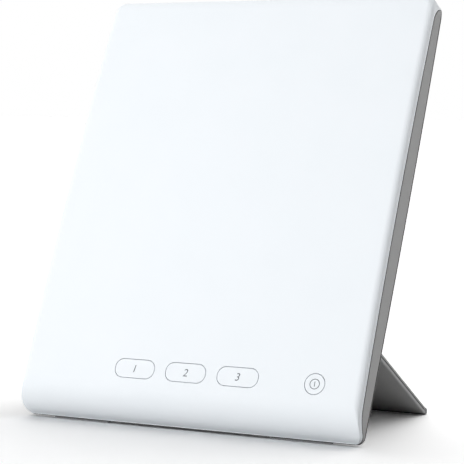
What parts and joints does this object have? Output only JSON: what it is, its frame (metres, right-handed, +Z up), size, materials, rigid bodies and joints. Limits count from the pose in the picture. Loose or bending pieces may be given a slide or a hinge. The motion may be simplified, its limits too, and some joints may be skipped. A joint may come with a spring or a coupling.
{
  "type": "light therapy lamp",
  "caption": "Slim leaning light panel with a wrap-round opal front, low keys and a full-width flap hinged on its back that props it up.",
  "frame": {"origin": "on the table under the middle of the lamp", "axes": "+X to the viewer's right, +Y backwards, +Z up; the light faces -Y"},
  "size_m": [0.29, 0.1782, 0.3346],
  "materials": {
    "opal_acrylic": "satin-gloss opal acrylic",
    "grey_abs": "fine-textured matt ABS",
    "white_abs": "matt moulded ABS",
    "diffuser_film": "matt sheet",
    "aluminium_sheet": "mill finish",
    "led_board": "white solder mask",
    "circuit_board": "green solder mask",
    "black_plastic": "moulded",
    "lead_skin": "smooth PVC",
    "ribbon_film": "flat film cable",
    "rubber": "matt rubber",
    "zinc_steel": "zinc-plated"
  },
  "bodies": {
    "panel": {"front_cover": "opal_acrylic", "rear_housing": "grey_abs", "inner_frame": "white_abs", "diffuser_sheet": "diffuser_film", "reflector_tray": "white_abs", "chassis_plate": "aluminium_sheet", "led_bar_1": "led_board", "led_bar_2": "led_board", "led_bar_3": "led_board", "led_bar_4": "led_board", "led_bar_5": "led_board", "led_bar_6": "led_board", "driver_board": "circuit_board", "dc_inlet": "black_plastic", "power_lead": "lead_skin", "led_lead": "lead_skin", "key_ribbon": "ribbon_film", "key_carrier": "white_abs", "key_board": "circuit_board", "key_switch_1": "black_plastic", "key_switch_2": "black_plastic", "key_switch_3": "black_plastic", "key_switch_4": "black_plastic", "housing_screw_1": "zinc_steel", "housing_screw_2": "zinc_steel", "housing_screw_3": "zinc_steel", "housing_screw_4": "zinc_steel", "housing_screw_5": "zinc_steel", "housing_screw_6": "zinc_steel", "bracket_screw_1": "zinc_steel", "bracket_screw_2": "zinc_steel", "bracket_screw_3": "zinc_steel", "bracket_screw_4": "zinc_steel", "hinge_bracket_left": "zinc_steel", "hinge_bracket_right": "zinc_steel", "hinge_pin_left": "zinc_steel", "hinge_pin_right": "zinc_steel", "panel_foot_left": "rubber", "panel_foot_right": "rubber"},
    "stand": {"stand_outer_shell": "grey_abs", "stand_inner_shell": "grey_abs", "stand_foot_strip": "rubber", "hinge_leaf_left": "zinc_steel", "hinge_leaf_right": "zinc_steel", "stand_screw_1": "zinc_steel", "stand_screw_2": "zinc_steel", "stand_screw_3": "zinc_steel", "stand_screw_4": "zinc_steel"},
    "key_1": {"key_1": "opal_acrylic", "key_plunger_1": "black_plastic"},
    "key_2": {"key_2": "opal_acrylic", "key_plunger_2": "black_plastic"},
    "key_3": {"key_3": "opal_acrylic", "key_plunger_3": "black_plastic"},
    "power_key": {"power_key": "opal_acrylic", "key_plunger_4": "black_plastic"}
  },
  "joints": [
    {"name": "stand_hinge", "type": "hinge", "parent": "panel", "child": "stand", "pos_m": [0, -0.04401, 0.06566], "axis": [1, 0, 0], "range_deg": [0, 93.54]},
    {"name": "key_1_press", "type": "slide", "parent": "panel", "child": "key_1", "axis": [0, 0.8918, -0.4524], "range_m": [0, 0.0006], "stiffness_N_per_m": 3000, "springref_m": -0.0004},
    {"name": "key_2_press", "type": "slide", "parent": "panel", "child": "key_2", "axis": [0, 0.8918, -0.4524], "range_m": [0, 0.0006], "stiffness_N_per_m": 3000, "springref_m": -0.0004},
    {"name": "key_3_press", "type": "slide", "parent": "panel", "child": "key_3", "axis": [0, 0.8918, -0.4524], "range_m": [0, 0.0006], "stiffness_N_per_m": 3000, "springref_m": -0.0004},
    {"name": "power_key_press", "type": "slide", "parent": "panel", "child": "power_key", "axis": [0, 0.8918, -0.4524], "range_m": [0, 0.0006], "stiffness_N_per_m": 3000, "springref_m": -0.0004}
  ]
}
